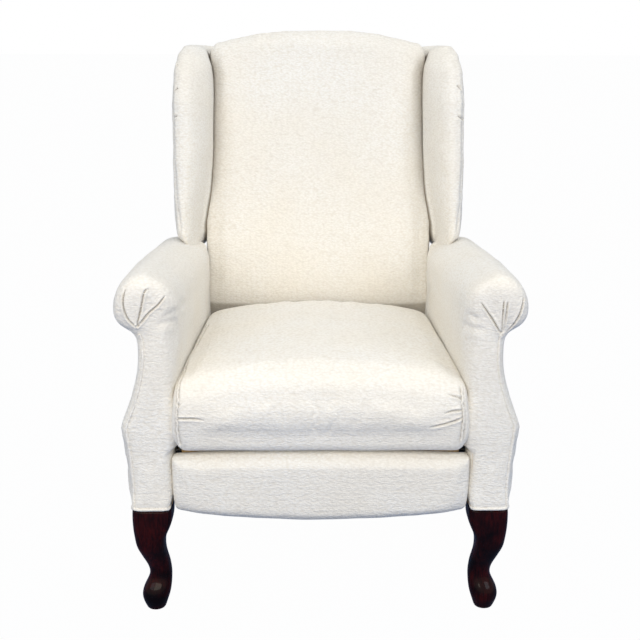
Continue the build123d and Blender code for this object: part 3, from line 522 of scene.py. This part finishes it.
def seen(tree, marks):
    """Points of a surface behind marks in the photograph, each given as its pixel (x, y)."""
    found = []
    for x, y in marks:
        ray = CAMERA_TURN @ Vector((x - PHOTO_PX / 2, PHOTO_PX / 2 - y, -FOCAL_PX)).normalized()
        hit = tree.ray_cast(CAMERA_PLACE, ray)[0]
        if hit:
            found.append(hit)
    return found


def darken(piece, share, rows=slice(None)):
    """Paints shade into the cloth's colour where it is drawn into a fold or lies against another
    pad.
    """
    painted_shade = piece.data.attributes.get("painted_shade") or piece.data.attributes.new("painted_shade", "FLOAT", "POINT")
    dark = np.zeros(len(piece.data.vertices), np.float32)
    painted_shade.data.foreach_get("value", dark)
    dark[rows] = np.maximum(dark[rows], share)
    painted_shade.data.foreach_set("value", dark)


def fold(piece, line, width, depth, fullness=0.3, fade=(0.015, 0.015), shade=0.0,
         shade_width=0.0013):
    """Draws the cloth in along a line that fades at its ends, and lets it swell beside it."""
    if len(line) < 2:
        return
    points, normals = shape_of(piece)
    track = np.array([tuple(p) for p in line])
    reach = 4.5 * width
    box = ((points > track.min(0) - reach) & (points < track.max(0) + reach)).all(1)
    near = np.nonzero(box)[0]
    if not len(near):
        return
    gaps = np.linalg.norm(points[near, None] - track[None], axis=2)
    nearest = gaps.argmin(1)
    away = gaps.min(1)
    steps = np.linalg.norm(np.diff(track, axis=0), axis=1)
    run = np.concatenate([[0.0], steps.cumsum()])
    ease = np.ones(len(track))
    if fade[0]:
        ease = np.minimum(ease, run / fade[0])
    if fade[1]:
        ease = np.minimum(ease, (run[-1] - run) / fade[1])
    ease = ease[nearest]
    beside = np.exp(-((away - 2.4 * width) / (1.3 * width)) ** 2)
    drop = np.exp(-(away / width) ** 2) - fullness * beside
    points[near] -= normals[near] * (drop * depth * ease)[:, None]
    set_shape(piece, points)
    # paints shade into the cloth's colour along the fold's line
    if shade:
        darken(piece, shade * np.exp(-(away / shade_width) ** 2) * np.minimum(1.0, 2 * ease), near)


def dress(piece, body, *replaced):
    """Finishes a padded piece as chenille over filling."""
    piece.data.materials.clear()
    piece.data.materials.append(chenille)
    piece.data.polygons.foreach_set("use_smooth", [True] * len(piece.data.polygons))
    piece.data.update()
    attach(piece, body)
    if replaced:
        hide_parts(*replaced)
    return piece


def welt(name, line, body, radius=WELT):
    """Covered cord sewn along a seam."""
    curve = bpy.data.curves.new(name, "CURVE")
    curve.dimensions = "3D"
    curve.bevel_depth = radius
    curve.bevel_resolution = 2
    curve.use_fill_caps = True
    spline = curve.splines.new("POLY")
    spline.points.add(len(line) - 1)
    for point, place in zip(spline.points, line):
        point.co = (*place, 1.0)
    drawn = add_object(name, curve)
    bpy.context.view_layer.update()
    shown = drawn.evaluated_get(bpy.context.evaluated_depsgraph_get())
    mesh = bpy.data.meshes.new_from_object(shown)
    bpy.data.objects.remove(drawn)
    return dress(add_object(name, mesh), body)


# pleats of the front scrolls and wrinkles below them, at their pixels in the photograph
ARM_PLEATS = {
    "right": [[(125.5, 288.6), (122.8, 299), (124, 310), (128.5, 320), (136, 327)],
              [(150, 289), (146, 290), (143.5, 295), (141, 308), (137, 326)],
              [(165.5, 295), (158, 305), (148, 314), (138, 326)]],
    "left": [[(480.5, 302), (488, 313), (494, 322), (501, 334)],
             [(504, 300), (503.5, 310), (501.5, 332)],
             [(508, 301), (506.5, 312), (503, 333)],
             [(523.5, 297), (523, 303), (519, 316), (512, 326), (504, 334)]],
}
ARM_WRINKLES = {
    "right": [[(179, 309), (172, 313), (158, 318)], [(178, 320), (168, 322), (155, 325)],
              [(186, 303), (181, 306)]],
    "left": [[(466, 312), (474, 318), (484, 322)], [(462, 324), (474, 328), (487, 330)]],
}
# front edge seam of an arm, as (x, z) in metres, from the scroll's crease to the foot
ARM_SEAM = [(0.3310, 0.575), (0.3285, 0.530), (0.3380, 0.475), (0.3545, 0.425), (0.3635, 0.402),
            (0.3640, 0.386), (0.3625, 0.345), (0.3600, 0.295), (0.3572, 0.240), (0.3568, 0.229)]
ARM_FOOT = 0.2285           # height of the welt round the arm's foot
ARM_LONG = 0.585            # length of the arm at its foot
# that welt, as (x, metres behind the arm's front), from the seat round to the back
FOOT_SEAM = [(0.289, 0.03), (0.289, 0.004), (0.3, -0.002), (0.352, -0.002), (0.3615, 0.008),
             (0.361, 0.05), (0.358, 0.3), (0.3545, ARM_LONG - 0.02), (0.35, ARM_LONG),
             (0.30, ARM_LONG)]
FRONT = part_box("left_arm_cover")[0][1]      # Y of the arms' front
ARM_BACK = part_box("left_arm_cover")[1][1]   # and of their back

arm_frame = ["left_arm_stump", "left_arm_rear_board", "left_side_rail"]
cut = cloth_net("left_arm", outer_form("left_arm_cover", arm_frame), ARM_NET, rounds=2)
across, depth, height = shape_of(cut)[0].T
# rounded most on the roll's inner shoulder, round the scroll and where the front turns inwards
rear = ramp(depth, ARM_BACK - 0.035, ARM_BACK - 0.012)
shoulder = ramp(height, 0.56, 0.60) * (1 - ramp(across, 0.325, 0.345))
scroll = ramp(height, 0.54, 0.585) * (1 - ramp(depth, FRONT + 0.035, FRONT + 0.075))
turn = (1 - ramp(across, 0.295, 0.325)) * (1 - ramp(depth, FRONT + 0.05, FRONT + 0.09))
turn = turn * ramp(height, 0.38, 0.46)
share = np.clip(0.1 + 0.9 * shoulder + 0.8 * scroll + 0.9 * turn, 0, 1) * (1 - rear)
soften(cut, share, rounds=80)
points, normals = shape_of(cut)
across, depth, height = points.T
# the roll is fullest halfway along, and the inner face closes on the cushion and the panel
along = np.clip((depth - FRONT) / (ARM_BACK - FRONT), 0, 1)
outward = ramp(height, 0.56, 0.60) * ramp(across, 0.30, 0.33)
barrel = (0.8 + 0.4 * np.sin(pi * along ** 0.8)) * outward * (1 - rear) * 0.0065
points = points + normals * barrel[:, None]
inside = (1 - ramp(across, 0.285, 0.292)) * (1 - ramp(height, 0.335, 0.345))
points[:, 0] -= 0.0012 * inside
beside = (1 - ramp(depth, FRONT + 0.06, FRONT + 0.12)) * ramp(height, 0.3425, 0.3465)
beside = beside * (1 - ramp(height, 0.42, 0.46))
push = (0.006 + 0.005 * (1 - ramp(height, 0.355, 0.375))) * beside
points[:, 0] -= push * (1 - ramp(across, 0.285, 0.30))
set_shape(cut, points)
# the cover is tacked round the foot and the back, and lies flatter beside the cushion
held = ramp(height, 0.232, 0.262) * (1 - ramp(depth, ARM_BACK - 0.03, ARM_BACK - 0.01))
held *= 1 - 0.8 * (1 - ramp(across, 0.262, 0.292)) * (1 - ramp(height, 0.50, 0.56))
stuff(cut, cap=0.006, free=held)

arms = {"left": cut, "right": other_side(cut, "right_arm")}

for side, hand in SIDES.items():
    arm = arms[side]
    halve_net(arm)
    undulate(arm, height=0.0012, width=0.09, seed=2 + hand)
    tree = surface(arm)
    wrinkles = [smooth_line(seen(tree, marks)) for marks in ARM_WRINKLES[side]]
    pleats = [lay_on(tree, smooth_line(seen(tree, marks))) for marks in ARM_PLEATS[side]]
    seam = lay_on(tree, smooth_line([(hand * x, FRONT + 0.004, z) for x, z in ARM_SEAM]))
    refine(arm, pleats)
    refine(arm, pleats, reach=0.0055)
    for line in wrinkles:
        fold(arm, line, width=0.0060, depth=0.0026, fullness=0.5)
    # painted shade along each pleat's line, as well as the drawn-in cloth
    for line in pleats:
        fold(arm, line, width=0.0016, depth=0.0042, fade=(0.012, 0.0), shade=0.8,
             shade_width=0.0011)
    fold(arm, seam, width=0.004, depth=0.0022, fullness=0.0)
    cord = [point + Vector((0, -0.0002, 0)) for point in lay_on(surface(arm), seam, lift=0.001)]
    welt(side + "_arm_front_welt", cord, "base")
    foot = smooth_line([(hand * x, FRONT + behind, ARM_FOOT) for x, behind in FOOT_SEAM])
    welt(side + "_arm_foot_welt", lay_on(surface(arm), foot, lift=0.0008), "base", radius=0.0032)
    dress(arm, "base", side + "_arm_cover")


# ---------------------------------------------------------------- deck
# Under the cushion the springs are covered with a pad of fibre in plain woven decking cloth,
# which is stapled to the rails of the seat box.
DECK_THREAD = 0.0016        # spacing of its threads, drawn coarse enough to show


def decking_cloth():
    """Plain woven cotton decking: flat, dull and even."""
    finish, tree, skin = new_finish("plain_woven_decking", Roughness=0.95)
    place = add_node(tree, "TexCoord").outputs["Object"]
    weave = add_node(tree, "TexVoronoi", None,
                     {"Vector": place, "Scale": 1 / DECK_THREAD, "Randomness": 0.3})
    gap = add_node(tree, "MapRange", None,
                   {"Value": weave.outputs["Distance"], "From Min": 0.1, "From Max": 0.7})
    colour = add_node(tree, "Mix", {"data_type": "RGBA"},
                      {0: gap.outputs["Result"], 6: srgb("#D8D2C4"), 7: srgb("#BDB6A6")})
    bump = add_node(tree, "Bump", None,
                    {"Height": weave.outputs["Distance"], "Strength": 0.4, "Distance": 0.0004})
    tree.links.new(colour.outputs[2], skin.inputs["Base Color"])
    tree.links.new(bump.outputs[0], skin.inputs["Normal"])
    return finish


deck = cloth_net("decking", outer_form("deck_pad"), spacing=0.006, rounds=3)
dress(deck, "seat", "deck_pad")
deck.data.materials[0] = decking_cloth()


# ---------------------------------------------------------------- seat cushion
# A foam cushion in a fibre wrap, with a top panel that falls over its front, boxing down each
# side and a welt between them; the cloth is pleated where the panel turns the front corners.
# its side seams and its corner pleats, at their pixels in the photograph
CUSHION_SEAMS = {
    "right": [(214, 310), (207.5, 324.5), (198, 341.5), (187.3, 360.5), (181.3, 376.8),
              (177.3, 396.5), (176.3, 419.4), (177.3, 434), (180.5, 446)],
    "left": [(428, 308), (431, 318), (439, 333), (449, 352), (457, 368), (461, 385),
             (462.5, 400), (463.5, 415), (463, 430), (461, 442)],
}
CUSHION_PLEATS = {
    "right": [[(177, 408), (180, 404.5), (184, 402.5)], [(177, 418.5), (190, 419), (205, 420.5)]],
    "left": [[(462, 399), (454, 396), (446, 393.5)], [(463, 410), (452, 411.5), (443, 414.5)],
             [(462, 418), (446, 424), (428, 428)]],
}

cushion = cloth_net("seat_pad", outer_form("seat_cushion"), spacing=0.0056, rounds=3)
low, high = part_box("seat_cushion")
across, depth, height = shape_of(cushion)[0].T
# rounded over its front edge and at its rear corners
front = 1 - ramp(depth, low.y + 0.05, low.y + 0.13)
corner = ramp(np.abs(across), 0.19, 0.24) * ramp(depth, high.y - 0.09, high.y - 0.02)
share = np.clip(0.16 + 0.5 * front * ramp(height, 0.42, 0.46) + 0.35 * corner, 0, 1)
soften(cushion, share, rounds=50)
points = shape_of(cushion)[0]
across, depth, height = points.T
# crowned on top, full at its flanks, and drawn back and down at the foot of its front
crown = (1 - 0.3 * (across / 0.27) ** 2) * ramp(height, 0.44, 0.48)
crown = crown * ramp(high.y - depth, -0.01, 0.05)
points[:, 2] += 0.0075 * crown
flank = np.sign(across) * ramp(np.abs(across), 0.19, 0.255)
points[:, 0] += 0.008 * flank * ramp(height, 0.345, 0.38) * (1 - ramp(height, 0.482, 0.504))
points[:, 0] += 0.006 * flank * front * (1 - ramp(height, 0.37, 0.44))
points[:, 1] += 0.013 * np.clip((0.43 - height) / 0.08, 0, 1) ** 2 * front
points[:, 2] -= 0.003 * (1 - ramp(height, 0.355, 0.38)) * front
set_shape(cushion, points)
# it lies on the deck and against the back, and is held by the arms
free = ramp(height, low.z + 0.012, low.z + 0.05) * (1 - 0.75 * ramp(np.abs(across), 0.23, 0.25))
free *= 1 - ramp(depth, high.y - 0.03, high.y - 0.01)
stuff(cushion, cap=0.007, free=free)
halve_net(cushion)
undulate(cushion, height=0.0016, width=0.11, seed=5)
tree = surface(cushion)
seams = {side: lay_on(tree, smooth_line(seen(tree, CUSHION_SEAMS[side]))) for side in SIDES}
pleats = [lay_on(tree, smooth_line(seen(tree, marks)))
          for side in SIDES for marks in CUSHION_PLEATS[side]]
refine(cushion, pleats)
refine(cushion, pleats, reach=0.0055)
# painted shade along the side seams beside their welts, and along the corner pleats
for side in SIDES:
    fold(cushion, seams[side], width=0.0035, depth=0.0035, fullness=0.25, shade=0.5,
         shade_width=0.0042)
    cord = lay_on(surface(cushion), seams[side], lift=0.0008)
    welt(side + "_cushion_welt", cord, "seat", radius=0.0023)
for line in pleats:
    fold(cushion, line, width=0.0018, depth=0.0040, fullness=0.35, fade=(0.0, 0.02), shade=0.6)
dress(cushion, "seat", "seat_cushion")


# ---------------------------------------------------------------- footrest panel
# The panel that closes the front is the footrest: a plywood board in a thin foam pad, with the
# chenille wrapped round both, rounded at the lower corners and tacked on the board's back.
pad_form = outer_form("footrest_pad", ["footrest_board"])
pad = cloth_net("footrest_panel", pad_form, spacing=0.005, rounds=9)
across, depth, height = shape_of(pad)[0].T
lower_corners = ramp(np.abs(across), 0.235, 0.268) * (1 - ramp(height, 0.235, 0.27))
soften(pad, lower_corners, rounds=45)
across, depth, height = shape_of(pad)[0].T
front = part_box("footrest_pad")[0].y
free = (1 - ramp(depth, front + 0.012, front + 0.03)) * (1 - ramp(np.abs(across), 0.262, 0.276))
stuff(pad, cap=0.004, free=free)
halve_net(pad)
undulate(pad, height=0.0012, width=0.08, seed=8)
dress(pad, "footrest", "footrest_pad")


# ---------------------------------------------------------------- back
# The outside back is chenille over card on the frame; the back cushion is foam and fibre with
# an arched top, and each wing is padded round its plywood board and pleated along its edge.
# pleats over the wings' outer edges and the seams along them, at their pixels in the photograph
WING_TICKS = {
    "right": [[(173.5, 69), (176, 66), (178, 64)], [(173.5, 92), (176, 89), (178, 87.5)],
              [(173.5, 118), (176, 116), (177.5, 115)], [(178, 50), (181, 48), (183, 47)]],
    "left": [[(462, 90), (459.5, 87.5), (457, 85)], [(463.5, 120), (461, 118), (458, 116)]],
}
WING_SEAM = {
    "right": [(174.8, 62), (173.8, 90), (173.6, 120), (174.3, 150), (175.8, 180), (178.3, 210),
              (181.8, 234)],
    "left": [(459.8, 62), (461.8, 90), (462.4, 120), (462.2, 150), (461.2, 180), (459.2, 210),
             (456.2, 234)],
}
# how far the front of a wing's inner face lies outside its solid, by height
WING_INSET = [(0.64, 0.031), (0.70, 0.028), (0.76, 0.015), (0.85, 0.003), (0.95, 0.001),
              (1.04, 0.005), (1.07, 0.017)]
# how far each side of the cushion swells past its solid, by height
BACK_BULGE = [(0.36, 0.0), (0.41, 0.008), (0.45, 0.0195), (0.60, 0.0205), (0.635, 0.0215),
              (0.70, 0.021), (0.77, 0.011), (0.85, 0.004), (1.00, 0.004), (1.06, 0.015),
              (1.10, 0.020)]


def face_depth(points, bins=40):
    """Y of the piece's front at each point's height."""
    heights = points[:, 2]
    edges = np.linspace(heights.min(), heights.max() + 1e-6, bins + 1)
    place = np.clip(np.digitize(heights, edges) - 1, 0, bins - 1)
    fronts = np.array([points[place == i, 1].min() for i in range(bins)])
    return np.interp(heights, (edges[1:] + edges[:-1]) / 2, fronts)


outside = cloth_net("outside_back_panel", outer_form("outside_back"), spacing=0.004, rounds=3)
dress(outside, "back", "outside_back")

rear_nodes = ["left_back_stile", "right_back_stile", "back_top_rail"]
back_form = outer_form("back_cushion", rear_nodes)
back_pad = cloth_net("inside_back", back_form, spacing=0.0056, rounds=6)
points = shape_of(back_pad)[0]
across, depth, height = points.T
behind = ramp(depth - face_depth(points), 0.05, 0.09)
bulge = np.interp(height, *zip(*BACK_BULGE)) * ramp(np.abs(across), 0.15, 0.241) * (1 - behind)
points[:, 0] += np.sign(across) * bulge
points[:, 2] += 0.006 * ramp(height, 1.03, 1.09)
set_shape(back_pad, points)
free = (1 - behind) * (1 - 0.85 * ramp(np.abs(across), 0.22, 0.24)) * ramp(height, 0.46, 0.56)
stuff(back_pad, cap=0.008, free=free)
halve_net(back_pad)
undulate(back_pad, height=0.0018, width=0.12, seed=11)
# painted shade: deeper in colour where it turns in between the wings, down its sides and at its
# foot
across, depth, height = shape_of(back_pad)[0].T
side_share = np.abs(across) - np.interp(height, *zip(*BACK_BULGE))
between = ramp(height, 0.70, 0.78) * (1 - ramp(height, 1.02, 1.07))
darken(back_pad, 0.42 * between * ramp(side_share, 0.205, 0.238))
darken(back_pad, 0.9 * ramp(side_share, 0.2365, 0.2405))
darken(back_pad, 0.5 * (1 - ramp(height, 0.480, 0.491)) + 0.10 * (1 - ramp(height, 0.49, 0.53)))
dress(back_pad, "back", "back_cushion")

wing_form = outer_form("left_wing_cover", ["left_wing_board"])
cut = cloth_net("left_wing", wing_form, spacing=0.005, rounds=6)
points = shape_of(cut)[0]
across, depth, height = points.T
low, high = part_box("left_wing_cover")
# its front leans out from the cushion, its top slopes inwards, and its foot hangs to the arm
edge = 1 - ramp(depth - face_depth(points), 0.09, 0.14)
inward = np.clip((high.x - across) / (high.x - low.x), 0, 1)
points[:, 0] += np.interp(height, *zip(*WING_INSET)) * inward * edge
slope = 0.019 * np.clip((0.297 - across) / 0.05, 0, 1.2) ** 2
points[:, 2] -= slope * ramp(height, 0.97, 1.06) * edge
points[:, 2] -= 0.020 * (1 - ramp(across, 0.275, 0.315)) * (1 - ramp(height, 0.68, 0.74)) * edge
set_shape(cut, points)
stuff(cut, cap=0.003, free=ramp(height, 0.66, 0.70))
wings = {"left": cut, "right": other_side(cut, "right_wing")}
back_skin = surface(back_pad)

for side, hand in SIDES.items():
    wing = wings[side]
    halve_net(wing)
    undulate(wing, height=0.001, width=0.08, seed=14 + hand)
    tree = surface(wing)
    ticks = [lay_on(tree, smooth_line(seen(tree, marks))) for marks in WING_TICKS[side]]
    seam = smooth_line(seen(tree, WING_SEAM[side]))
    refine(wing, ticks)
    # painted shade along the wing's seam and, below, along its pleats
    fold(wing, seam, width=0.0032, depth=0.0016, fullness=0.4, shade=0.2)
    # painted shade where the wing lies within about a centimetre of the back cushion
    gaps = np.array([back_skin.find_nearest(point)[3] for point in shape_of(wing)[0]])
    darken(wing, 0.85 * (1 - ramp(gaps, 0.003, 0.011)))
    for line in ticks:
        fold(wing, line, width=0.0024, depth=0.004, fade=(0.002, 0.002), shade=0.9)
    dress(wing, "back", side + "_wing_cover")


# ---------------------------------------------------------------- studio
# A white paper floor runs out to a white surround. Four square soft lamps light the chair: a
# warm key in front, one at each side and one above, and a cool surround fills the shadows.
FLOOR_HALF = 40.0           # half the floor's width
FLOOR_GLOW = 0.985          # share of the floor that the camera sees as plain white
WHITE = (1.0, 1.0, 1.0, 1.0)

form = bmesh.new()
bmesh.ops.create_grid(form, x_segments=2, y_segments=2, size=FLOOR_HALF)
floor = add_object("floor", mesh_of("floor", form))
# Seamless paper: matte and nearly plain white, with only a faint shadow of the chair; the light
# that it sends up is dim and bluish.
paper, tree, skin = new_finish("white_paper_floor", Base_Color=srgb("#64789C"), Roughness=0.9)
glow = add_node(tree, "Emission", None, {"Color": WHITE, "Strength": 1.0})
ray = add_node(tree, "LightPath")
direct = add_node(tree, "Math", {"operation": "MULTIPLY"},
                  {0: ray.outputs["Is Camera Ray"], 1: FLOOR_GLOW}).outputs[0]
cover = add_node(tree, "MixShader", None, {0: direct, 1: skin.outputs[0], 2: glow.outputs[0]})
tree.links.new(cover.outputs[0], tree.nodes["Material Output"].inputs["Surface"])
floor.data.materials.append(paper)

world = bpy.data.worlds.new("surround")
bpy.context.scene.world = world
world.use_nodes = True
tree = world.node_tree
ray = add_node(tree, "LightPath")
fill_light = add_node(tree, "Background", None, {"Color": srgb("#E2E9F2"), "Strength": 0.70})
white = add_node(tree, "Background", None, {"Color": WHITE, "Strength": 1.0})
sky = add_node(tree, "MixShader", None,
               {0: ray.outputs["Is Camera Ray"], 1: fill_light.outputs[0], 2: white.outputs[0]})
tree.links.new(sky.outputs[0], tree.nodes["World Output"].inputs["Surface"])


def softbox(name, place, aim, size, power, colour):
    """Square soft lamp that faces a point."""
    lamp = bpy.data.lights.new(name, "AREA")
    lamp.shape = "SQUARE"
    lamp.size = size
    lamp.energy = power
    lamp.color = srgb(colour)[:3]
    holder = add_object(name, lamp)
    holder.location = place
    holder.rotation_euler = (Vector(aim) - Vector(place)).to_track_quat("-Z", "Y").to_euler()


softbox("key_softbox", (-0.5, -2.4, 1.6), (0, 0, 0.6), size=1.5, power=29.0, colour="#FFF4E2")
softbox("right_softbox", (1.7, -1.9, 1.6), (0, 0, 0.5), size=1.4, power=18.5, colour="#F6F8FF")
softbox("left_softbox", (-1.8, -1.8, 1.6), (0, 0, 0.5), size=1.4, power=11.0, colour="#F6F8FF")
softbox("top_softbox", (0.4, 0.3, 3.2), (0, 0, 0.5), size=2.0, power=18.0, colour="#FFFBF6")

bpy.context.scene.view_settings.view_transform = "Standard"
